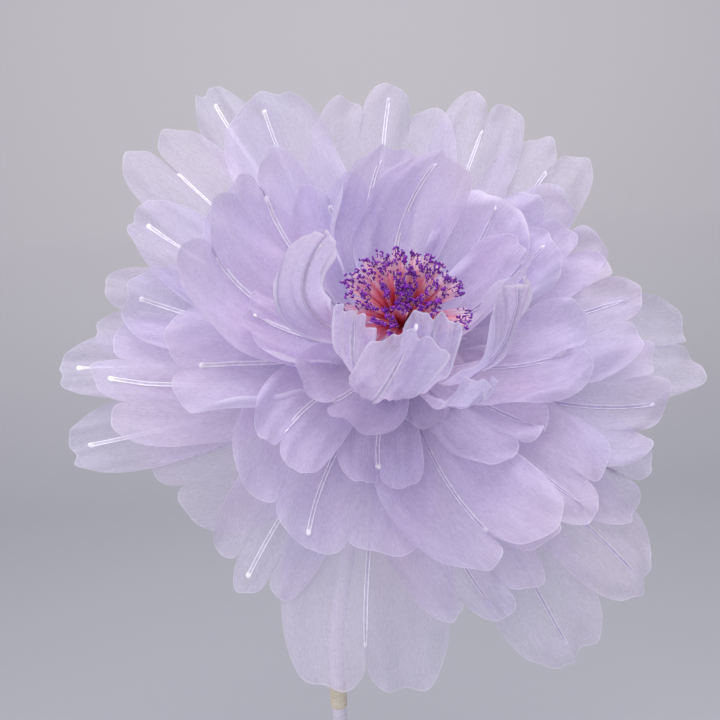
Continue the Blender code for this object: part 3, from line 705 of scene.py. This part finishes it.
class Look:
    """A node material being built."""

    def __init__(self, name):
        self.material = bpy.data.materials.new(name)
        self.material.use_nodes = True
        self.tree = self.material.node_tree
        self.shader = self.tree.nodes["Principled BSDF"]
        self.output = self.tree.nodes["Material Output"]

    def node(self, kind, **values):
        """Add a node, with values for its inputs."""
        made = self.tree.nodes.new(kind)
        for key, value in values.items():
            made.inputs[key].default_value = value
        return made

    def link(self, source, target):
        """Join an output socket to an input socket."""
        self.tree.links.new(source, target)

    def place(self):
        """Each point's place in the object's own frame."""
        return self.node("ShaderNodeTexCoord").outputs["Object"]

    def attribute(self, name):
        """A number that the mesh keeps at each vertex."""
        made = self.node("ShaderNodeAttribute")
        made.attribute_name = name
        return made.outputs["Fac"]

    def ramp(self, factor, stops):
        """A colour ramp over a factor, from a list of (place, colour)."""
        made = self.tree.nodes.new("ShaderNodeValToRGB")
        made.color_ramp.elements[0].position, made.color_ramp.elements[0].color = stops[0]
        made.color_ramp.elements[1].position, made.color_ramp.elements[1].color = stops[-1]
        for place, colour in stops[1:-1]:
            made.color_ramp.elements.new(place).color = colour
        self.link(factor, made.inputs["Fac"])
        return made.outputs["Color"]

    def noise(self, vector, scale, detail, roughness=0.5, distortion=0.0):
        """Noise over a vector that is first scaled along each axis."""
        squash = self.node("ShaderNodeMapping", Scale=scale)
        self.link(vector, squash.inputs["Vector"])
        made = self.node("ShaderNodeTexNoise", Scale=1.0, Detail=detail, Roughness=roughness,
                         Distortion=distortion)
        self.link(squash.outputs["Vector"], made.inputs["Vector"])
        return made.outputs["Fac"]

    def blend(self, factor, first, second):
        """Mix a colour socket towards a fixed colour."""
        made = self.tree.nodes.new("ShaderNodeMix")
        made.data_type = "RGBA"
        self.link(factor, made.inputs["Factor"])
        self.link(first, made.inputs["A"])
        made.inputs["B"].default_value = second
        return made.outputs["Result"]

    def mix_shader(self, factor, first, second):
        """Mix two shaders by a number or a socket."""
        made = self.tree.nodes.new("ShaderNodeMixShader")
        if isinstance(factor, (int, float)):
            made.inputs["Fac"].default_value = factor
        else:
            self.link(factor, made.inputs["Fac"])
        self.link(first, made.inputs[1])
        self.link(second, made.inputs[2])
        return made.outputs["Shader"]

    def math(self, operation, first, second):
        """A Math node over two sockets or numbers."""
        made = self.tree.nodes.new("ShaderNodeMath")
        made.operation = operation
        for index, value in enumerate((first, second)):
            if isinstance(value, (int, float)):
                made.inputs[index].default_value = value
            else:
                self.link(value, made.inputs[index])
        return made.outputs[0]

    def lumps(self, scale, detail, roughness=0.5):
        """Even noise over the object."""
        return self.noise(self.place(), (scale, scale, scale), detail, roughness)

    def total(self, *parts):
        """Sum of sockets, each times its weight."""
        total = self.math("MULTIPLY", *parts[0])
        for socket, weight in parts[1:]:
            total = self.math("ADD", total, self.math("MULTIPLY", socket, weight))
        return total

    def surface(self, colour, roughness):
        """Colour and roughness of the main shader."""
        self.link(colour, self.shader.inputs["Base Color"])
        self.shader.inputs["Roughness"].default_value = roughness

    def bump(self, height, strength, distance):
        """Bump on the main shader, given back for another shader to share."""
        made = self.node("ShaderNodeBump", Strength=strength, Distance=distance)
        self.link(height, made.inputs["Height"])
        self.link(made.outputs["Normal"], self.shader.inputs["Normal"])
        return made.outputs["Normal"]

    def glow(self, colour, share, normal=None):
        """The main shader mixed with light that shines through the paper from behind."""
        made = self.node("ShaderNodeBsdfTranslucent")
        self.link(colour, made.inputs["Color"])
        if normal:
            self.link(normal, made.inputs["Normal"])
        return self.mix_shader(share, self.shader.outputs["BSDF"], made.outputs["BSDF"])

    def see_through(self, cover, paper):
        """Finish with paper that is seen through where its cover is thin."""
        clear = self.node("ShaderNodeBsdfTransparent").outputs["BSDF"]
        self.link(self.mix_shader(cover, clear, paper), self.output.inputs["Surface"])


def petal_look():
    """Thin lilac crepe: fibres along the fan, see-through between them, thinner in the outer layers."""
    look = Look("petal_crepe")
    grain = look.node("ShaderNodeUVMap")
    grain.uv_map = "grain"
    flat = grain.outputs["UV"]
    fibre = look.noise(flat, (820.0, 30.0, 1.0), detail=2.0, roughness=0.65)
    stray = look.noise(flat, (260.0, 90.0, 1.0), detail=3.0, roughness=0.7, distortion=1.8)
    band = look.noise(flat, (70.0, 9.0, 1.0), detail=1.0)
    cloud = look.lumps(9.0, detail=1.0)
    mottle = look.lumps(85.0, detail=2.0, roughness=0.7)
    layer = look.attribute("layer")
    rim = look.ramp(look.attribute("rim"), [(0.0, grey(1.0)), (0.42, grey(0.0))])
    colour = petal_colour(look, cloud, stray, layer, rim)
    look.surface(colour, 0.6)
    look.shader.inputs["Specular IOR Level"].default_value = 0.3
    look.shader.inputs["Sheen Weight"].default_value = 0.12
    look.shader.inputs["Sheen Roughness"].default_value = 0.5
    normal = look.bump(look.total((stray, 0.8), (mottle, 1.2)), strength=0.35, distance=0.0008)
    cover = look.total((fibre, FIBRE_COVER), (stray, STRAY_COVER), (band, BAND_COVER), (mottle, MOTTLE_COVER))
    cover = look.math("ADD", cover, LEAST_COVER)
    cover = look.math("SUBTRACT", cover, look.math("MULTIPLY", layer, OUTER_THINNING))
    cover = look.math("ADD", cover, look.math("MULTIPLY", rim, RIM_COVER))
    look.see_through(look.math("MINIMUM", cover, 1.0), look.glow(colour, 0.5, normal))
    return look.material


def petal_colour(look, cloud, stray, layer, rim):
    """Lilac clouds from cool to rosy, greyer in the outer layers, paler in stray fibres, and with a painted
    highlight at the rim.
    """
    warm = look.ramp(cloud, [(0.3, CREPE_COOL), (0.5, CREPE_LILAC), (0.72, CREPE_ROSY)])
    greying = look.math("MULTIPLY", look.math("POWER", layer, 2.0), GREYING)
    outer = look.blend(greying, warm, CREPE_GREY)
    paling = look.math("MULTIPLY", look.math("POWER", stray, 2.0), PALING)
    pale = look.blend(paling, outer, CREPE_FIBRE)
    # painted highlight: the rim band is blended towards a pale lilac
    return look.blend(look.math("MULTIPLY", rim, RIM_HIGHLIGHT_PALING), pale, CREPE_RIM_HIGHLIGHT)


def rib_look():
    """Rib strip: milky paper over a wire, denser along its two edges and in the blob at its end, with painted
    shade where its mark is low, in the hollow and at its outer rims.
    """
    look = Look("rib_glue")
    lumps = look.lumps(160.0, detail=3.0)
    mark = look.attribute("mark")
    tone = look.math("ADD", mark, look.math("MULTIPLY", lumps, 0.25))
    look.surface(look.ramp(tone, [(0.42, GLUE_HOLLOW_SHADE), (0.62, GLUE_RIDGE), (0.9, GLUE_BLOB)]), 0.35)
    look.bump(lumps, strength=0.25, distance=0.0004)
    look.see_through(look.total((mark, 0.75), (lumps, 0.4)), look.shader.outputs["BSDF"])
    return look.material


def build_petals(petal_paper, rib_glue):
    """Every petal's sheet, and its rib wire as a separate piece."""
    for petal in PETALS:
        petal = petal._replace(**AS_STANDING.get(petal.name, {}))
        sheet = add_piece(petal.name + "_sheet", petal_mesh(petal), [petal_paper], petal.name)
        rib = add_piece(petal.name + "_rib", rib_mesh(petal), [rib_glue])
        size, area = flat_cut(petal)


def rib_places(petal):
    """Places along the petal of the rib's sections, closer together in the blob, and where the rib ends."""
    gap = NOTCH_RIB_GAP if petal.lobes == 2 else RIB_GAP
    end = float(tip_outline(petal.lobes, np.array([0.0]))[0]) - gap
    blob = BLOB_LENGTH / petal.length
    turn = np.linspace(0.0, math.pi / 2.0, BLOB_CELLS)[1:]
    return np.concatenate([np.linspace(RIB_START, end - blob, RIB_CELLS), end - blob * np.cos(turn)]), end


def rib_mesh(petal):
    """A strip over a wire along the petal's middle: two low ridges with a hollow between, and a round end."""
    share, rib_end = rib_places(petal)
    face = -1.0 if petal.name in OUTER_RIBS else 1.0
    middle, normals = petal_points(petal, share, np.zeros(share.shape), lift=RIB_LIFT * face)
    side, _ = petal_points(petal, share, np.full(share.shape, RIB_ASIDE), lift=RIB_LIFT * face)
    normals = normals * face
    sideways = side - middle
    sideways /= np.linalg.norm(sideways, axis=-1, keepdims=True)
    # painted light: ribs are whiter and more opaque round RIB_BRIGHT_SIDE, and darker and thinner opposite
    density_and_light = RIB_DENSITY + DENSITY_AND_LIGHT_SWING * math.cos(math.radians(petal.azimuth - RIB_BRIGHT_SIDE))
    verts = []
    marks = []
    for index, here in enumerate(share):
        left = (rib_end - here) * petal.length
        bulb = math.exp(-((left - BLOB_RADIUS) / BLOB_SPREAD) ** 2)
        close = math.sqrt(max(0.0, 1.0 - max(0.0, 1.0 - left / BLOB_RADIUS) ** 2))
        run = min(1.0, max(0.0, (here - RIB_START) / RIB_FADE_RUN))
        fade = START_DENSITY + (1.0 - START_DENSITY) * run
        wide = RIB_WIDTH / 2.0 * (1.0 + BLOB_WIDTH_GAIN * bulb) * close
        high = RIB_HEIGHT * (1.0 + BLOB_HEIGHT_GAIN * bulb) * close
        for place, height in RIB_PROFILE:
            height = height + (math.sqrt(1.0 - place ** 2) - height) * bulb
            verts.append(middle[index] + sideways[index] * place * wide + normals[index] * height * high)
            # painted shade: the hollow's low value also darkens the rib's tone
            ridge = HOLLOW_DENSITY_AND_SHADE + (1.0 - HOLLOW_DENSITY_AND_SHADE) * min(1.0, height / RIDGE_HEIGHT)
            marks.append((ridge + (1.0 - ridge) * bulb) * density_and_light * fade)
    shape = Shape()
    shape.add(verts, grid_faces(len(share), len(RIB_PROFILE)), 0, marks)
    return shape.mesh(petal.name + "_rib")


def tube_along(path, radii, sides):
    """Vertices and faces of a thin round tube along a path of points, closed at both ends."""
    verts = []
    faces = []
    across = TUBE_ASIDE
    for index, point in enumerate(path):
        before = path[max(index - 1, 0)]
        after = path[min(index + 1, len(path) - 1)]
        along = (after - before).normalized()
        across = (across - along * across.dot(along)).normalized()
        beside = along.cross(across)
        for side in range(sides):
            angle = 2.0 * math.pi * side / sides
            verts.append(point + (across * math.cos(angle) + beside * math.sin(angle)) * radii[index])
    for row in range(len(path) - 1):
        for side in range(sides):
            low = row * sides + side
            after = row * sides + (side + 1) % sides
            faces.append((low, after, after + sides, low + sides))
    faces.append(tuple(range((len(path) - 1) * sides, len(path) * sides)))
    faces.append(tuple(range(sides - 1, -1, -1)))
    return verts, faces


class Shape:
    """Vertices, faces, materials and marks gathered for one piece."""

    def __init__(self):
        self.verts = []
        self.faces = []
        self.looks = []
        self.marks = []

    def add(self, verts, faces, look=0, marks=None):
        """Add a part of the piece; marks are one number per vertex."""
        start = len(self.verts)
        self.verts.extend(tuple(vert) for vert in verts)
        self.faces.extend(tuple(corner + start for corner in face) for face in faces)
        self.looks.extend([look] * len(faces))
        self.marks.extend(marks if marks is not None else [0.0] * len(verts))

    def mesh(self, name, matrix=HEAD):
        """The piece as a mesh, placed in the shared frame."""
        made = bpy.data.meshes.new(name)
        made.from_pydata(self.verts, [], self.faces)
        made.polygons.foreach_set("material_index", self.looks)
        keep_values(made, "mark", self.marks)
        made.transform(matrix)
        made.shade_smooth()
        return made


def strip_frame(azimuth, lean):
    """Direction of a stamen strip, and the directions across its width and out of its face."""
    along = Vector((math.cos(azimuth) * math.sin(lean), math.sin(azimuth) * math.sin(lean), math.cos(lean)))
    beside = Vector((-math.sin(azimuth), math.cos(azimuth), 0.0))
    return along, beside, along.cross(beside)


def stamen_shape(band, rng):
    """One rolled band, cut into strips of fine threads that open outward and end in clusters of anthers."""
    shape = Shape()
    for strip in range(band.strips):
        azimuth = 2.0 * math.pi * (strip + rng.uniform(-STRIP_SCATTER, STRIP_SCATTER)) / band.strips
        lean = band.lean + rng.uniform(-band.spread, band.spread)
        start = Vector((band.radius * math.cos(azimuth), band.radius * math.sin(azimuth), BAND_FOOT))
        add_strip(shape, rng, start, azimuth, math.radians(lean), band)
    return shape


def add_strip(shape, rng, start, azimuth, lean, band):
    """One strip: threads side by side, joined at the root, each with anthers near its tip."""
    length = STAMEN_LENGTH * rng.uniform(*STRIP_LENGTHS) * band.length
    width = STRIP_WIDTH * rng.uniform(*STRIP_WIDTHS)
    twist = rng.uniform(-STRIP_TWIST, STRIP_TWIST)
    bend = rng.uniform(-STRIP_BEND, STRIP_BEND)
    for thread in range(STRIP_THREADS):
        place = 2.0 * (thread + rng.uniform(*THREAD_PLACES)) / STRIP_THREADS - 1.0
        own_lean = lean + rng.uniform(-THREAD_LEAN, THREAD_LEAN)
        own_length = length * rng.uniform(*THREAD_LENGTHS)
        path = [start.copy(), start + Vector((0.0, 0.0, BAND_TOP - BAND_FOOT))]
        for step in range(1, THREAD_STEPS + 1):
            share = step / THREAD_STEPS
            path_lean = own_lean * min(1.0, LEAN_AT_ROOT + LEAN_GAIN * share) + bend * share
            along, beside, facing = strip_frame(azimuth + bend * share * place, path_lean)
            across = beside * math.cos(twist * share) + facing * math.sin(twist * share)
            spread = width * place / (2.0 * THREAD_STEPS) * (FAN_AT_ROOT - FAN_LOSS * share)
            path.append(path[-1] + along * own_length / THREAD_STEPS + across * spread)
        add_thread(shape, path, across)
        add_anthers(shape, rng, path, along, across)


def add_thread(shape, path, across):
    """A flat thread, folded a little along its middle."""
    verts = []
    marks = []
    for index, point in enumerate(path):
        along = (path[min(index + 1, len(path) - 1)] - path[max(index - 1, 0)]).normalized()
        side = (across - along * across.dot(along)).normalized()
        lift = along.cross(side) * THREAD_WIDTH * THREAD_FOLD
        verts += [point - side * THREAD_WIDTH / 2.0, point + lift, point + side * THREAD_WIDTH / 2.0]
        marks += [max(0.0, (index - 1) / (len(path) - 2))] * 3
    faces = []
    for row in range(len(path) - 1):
        low = row * 3
        faces += [(low, low + 1, low + 4, low + 3), (low + 1, low + 2, low + 5, low + 4)]
    shape.add(verts, faces, 0, marks)


def add_anthers(shape, rng, path, along, across):
    """A few small curled anthers along the last stretch of a thread."""
    tip = path[-1]
    back = (path[-2] - tip).normalized()
    for distance, chance in ANTHER_PLACES:
        if rng.random() < chance:
            place = tip + back * (distance + rng.uniform(-ANTHER_ALONG, ANTHER_ALONG))
            place = place + across * rng.uniform(-ANTHER_ASIDE, ANTHER_ASIDE)
            add_anther(shape, rng, place, along, across)


def add_anther(shape, rng, place, along, across):
    """One anther: a short fat bead of dyed paper bent into a hook."""
    size = rng.uniform(*ANTHER_SIZES)
    start = rng.uniform(0.0, 2.0 * math.pi)
    bend = rng.uniform(*ANTHER_BENDS)
    tilt = rng.uniform(-ANTHER_TILT, ANTHER_TILT)
    out = along.cross(across)
    side = across * math.cos(tilt) + out * math.sin(tilt)
    path = []
    radii = []
    for step in range(ANTHER_STEPS + 1):
        share = step / ANTHER_STEPS
        angle = start + bend * share
        path.append(place + side * math.cos(angle) * size + along * math.sin(angle) * size)
        radii.append(size * ANTHER_GIRTH * (1.0 + math.sin(math.pi * share)))
    verts, faces = tube_along(path, radii, ANTHER_SIDES)
    shape.add(verts, faces, 1)


def build_stamens():
    """The fringed bands with their anthers, in place of the CAD bands."""
    rng = random.Random(SEED)
    looks = [fringe_look(), anther_look()]
    tuft = HEAD @ Matrix.Rotation(TUFT_LEAN, 4, "Y")
    for band in BANDS:
        threads = stamen_shape(band, rng).mesh(band.name, tuft)
        add_piece(band.name + "_threads", threads, looks, band.name)


def fringe_look():
    """Pleated crepe: deep salmon red at the root, pale pink towards the tip."""
    look = Look("stamen_crepe")
    lumps = look.lumps(120.0, detail=3.0)
    shift = look.math("MULTIPLY", look.math("SUBTRACT", lumps, 0.5), 0.5)
    colour = look.ramp(look.math("ADD", look.attribute("mark"), shift), FRINGE_STOPS)
    look.surface(colour, 0.6)
    look.link(look.glow(colour, 0.35), look.output.inputs["Surface"])
    return look.material


def anther_look():
    """Dyed anthers: deep violet with brighter purple in random patches."""
    look = Look("anther_dye")
    lumps = look.lumps(220.0, detail=2.0)
    look.surface(look.ramp(lumps, ANTHER_STOPS), 0.55)
    return look.material


def crepe_look(name, tones, rings):
    """Wound or wrapped crepe: fine cross wrinkles with a soft change of tone."""
    look = Look(name)
    wrinkle = look.noise(look.place(), (40.0, 40.0, rings), detail=5.0, roughness=0.6, distortion=0.8)
    look.surface(look.ramp(wrinkle, [(0.3, tones[0]), (0.7, tones[1])]), 0.7)
    look.bump(wrinkle, strength=0.45, distance=0.0008)
    return look.material


def steel_look(name, tones, roughness, metallic):
    """Painted or plated steel with faint unevenness."""
    look = Look(name)
    lumps = look.lumps(55.0, detail=4.0)
    look.surface(look.ramp(lumps, [(0.35, tones[0]), (0.65, tones[1])]), roughness)
    look.shader.inputs["Metallic"].default_value = metallic
    uneven = look.ramp(lumps, [(0.3, grey(roughness * 0.8)), (0.7, grey(roughness * 1.25))])
    look.link(uneven, look.shader.inputs["Roughness"])
    look.bump(lumps, strength=0.06, distance=0.0004)
    return look.material


def dress_cad_nodes():
    """Materials of the CAD nodes that are kept as they are."""
    wrap = crepe_look("stem_wrap", WRAP_TONES, 420.0)
    tape = crepe_look("cream_tape", TAPE_TONES, 160.0)
    paint = steel_look("white_paint", PAINT_TONES, 0.35, 0.0)
    plated = steel_look("plated_steel", PLATED_TONES, 0.28, 1.0)
    for name, look in (("hub", wrap), ("neck_wrap", wrap), ("stem", wrap), ("stem_tape", tape),
                       ("foot_plate", paint), ("stem_socket", paint), ("clamp_screw", plated)):
        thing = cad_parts[name]
        thing.data.materials.clear()
        thing.data.materials.append(look)


def build_camera():
    """The photograph's view, pitched down and a little rolled."""
    data = bpy.data.cameras.new("camera")
    data.lens = CAMERA_LENS
    data.sensor_width = CAMERA_FRAME
    data.clip_start = CAMERA_NEAR
    camera = new_object("camera", data)
    pitch = Matrix.Rotation(math.radians(90.0) - CAMERA_PITCH, 4, "X")
    camera.matrix_world = Matrix.Translation(CAMERA_PLACE) @ pitch @ Matrix.Rotation(-CAMERA_ROLL, 4, "Z")
    bpy.context.scene.camera = camera


def add_lamp(lamp):
    """A soft square lamp aimed at the flower."""
    data = bpy.data.lights.new(lamp.name, "AREA")
    data.shape = "SQUARE"
    data.size = lamp.size
    data.energy = lamp.power
    thing = new_object(lamp.name, data)
    thing.location = lamp.place
    thing.rotation_euler = (Vector(LAMP_TARGET) - Vector(lamp.place)).to_track_quat("-Z", "Y").to_euler()


def backdrop_mesh():
    """Floor that curves up into a wall, as one smooth sheet."""
    profile = [(FLOOR_FRONT, 0.0)]
    for degrees in range(0, 91, SWEEP_STEP):
        angle = math.radians(degrees)
        behind = WALL_PLACE - WALL_SWEEP + WALL_SWEEP * math.sin(angle)
        profile.append((behind, WALL_SWEEP - WALL_SWEEP * math.cos(angle)))
    profile.append((WALL_PLACE, WALL_TOP))
    verts = [(x, y, z) for y, z in profile for x in (-STAGE_HALF_WIDTH, STAGE_HALF_WIDTH)]
    mesh = bpy.data.meshes.new("backdrop")
    mesh.from_pydata(verts, [], grid_faces(len(profile), 2))
    mesh.shade_smooth()
    return mesh


def backdrop_look():
    """Pale grey paper, a little paler up the wall."""
    look = Look("backdrop_paper")
    split = look.node("ShaderNodeSeparateXYZ")
    look.link(look.place(), split.inputs["Vector"])
    high = look.math("MULTIPLY", split.outputs["Z"], 1.0 / WALL_TOP)
    look.surface(look.ramp(high, [(0.0, FLOOR_TONE), (WALL_TONE_HEIGHT, WALL_TONE)]), 0.9)
    return look.material


def build_stage():
    """Pale floor and backdrop, soft lamps and an even sky."""
    mesh = backdrop_mesh()
    mesh.materials.append(backdrop_look())
    new_object("backdrop", mesh)
    world = bpy.data.worlds.new("sky")
    world.use_nodes = True
    sky = world.node_tree.nodes["Background"]
    sky.inputs["Color"].default_value = SKY_COLOUR
    sky.inputs["Strength"].default_value = SKY_STRENGTH
    scene = bpy.context.scene
    scene.world = world
    for lamp in LAMPS:
        add_lamp(lamp)
    scene.view_settings.view_transform = "Standard"
    scene.cycles.transparent_max_bounces = TRANSPARENT_BOUNCES
    scene.cycles.max_bounces = LIGHT_BOUNCES


def main():
    """Dress the whole flower."""
    build_camera()
    build_stage()
    build_petals(petal_look(), rib_look())
    build_stamens()
    dress_cad_nodes()


main()
